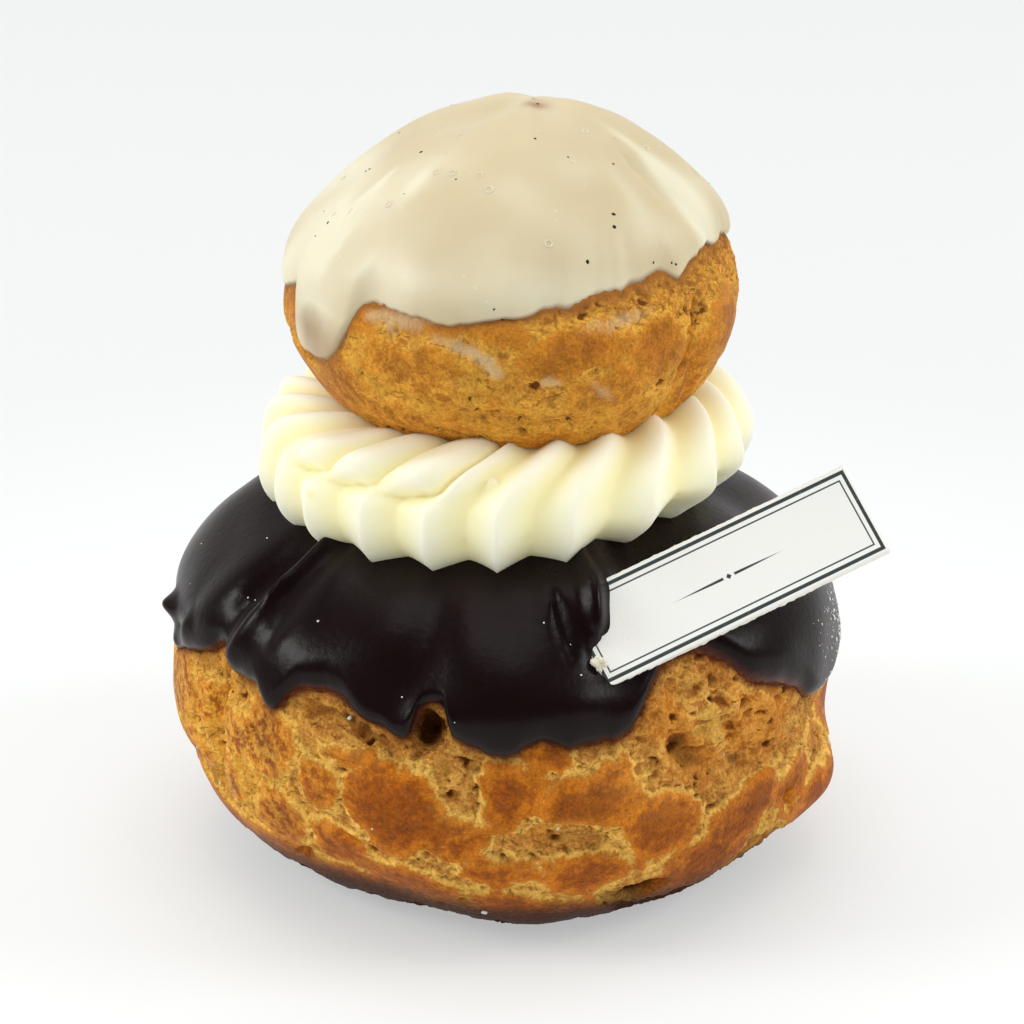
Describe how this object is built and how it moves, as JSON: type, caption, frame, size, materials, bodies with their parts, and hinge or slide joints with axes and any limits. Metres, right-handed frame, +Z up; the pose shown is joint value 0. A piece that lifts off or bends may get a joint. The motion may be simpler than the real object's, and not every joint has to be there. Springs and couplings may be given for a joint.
{
  "type": "religieuse choux pastry",
  "caption": "Large choux bun under dark chocolate icing, a piped cream collar, a small choux bun under vanilla icing, and a bare white chocolate plaque.",
  "frame": {"origin": "middle of the large bun's flat base, on the surface that the pastry stands on", "axes": "+Z up; the pastry's front, with the plaque at its right, looks to -Y"},
  "size_m": [0.0781, 0.0743, 0.0853],
  "materials": {
    "crust": "matt to satin baked choux, browned in plates with paler cracks",
    "chocolate": "satin gloss dark chocolate fondant",
    "cream": "soft buttercream, faint gloss",
    "vanilla": "satin vanilla fondant with black vanilla seeds",
    "white_chocolate": "matt white chocolate with a thin dark border"
  },
  "bodies": {
    "root": {"large_choux": "crust", "chocolate_icing": "chocolate", "cream_collar": "cream", "small_choux": "crust", "vanilla_icing": "vanilla", "plaque": "white_chocolate"}
  },
  "joints": []
}
